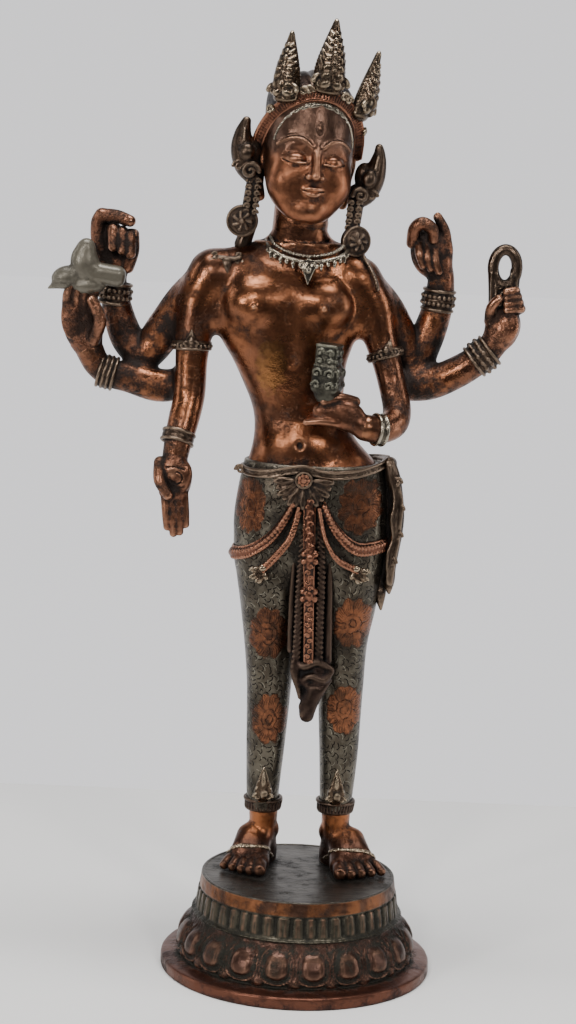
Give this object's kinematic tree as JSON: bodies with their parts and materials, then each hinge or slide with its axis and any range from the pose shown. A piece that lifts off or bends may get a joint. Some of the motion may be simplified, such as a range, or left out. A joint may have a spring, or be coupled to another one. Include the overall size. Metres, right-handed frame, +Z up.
{
  "type": "standing deity statue",
  "caption": "Six-armed Avalokiteshvara of copper and white metal in a swayed pose on a round lotus pedestal, with tall crown, long-life vase, pale bud and noose.",
  "frame": {"origin": "centre of the pedestal's underside", "axes": "+Z up along the statue's height, -Y to the viewer that the figure faces, +X to that viewer's right"},
  "size_m": [0.2038, 0.1214, 0.4208],
  "materials": {
    "copper": "polished reddish copper skin, silvery tinned cloth and jewellery, dark patina in the recesses",
    "dark_copper": "dark brown copper with grey-green patina in the recesses and a bright copper band"
  },
  "bodies": {
    "root": {"figure": "copper", "pedestal": "dark_copper"}
  },
  "joints": []
}
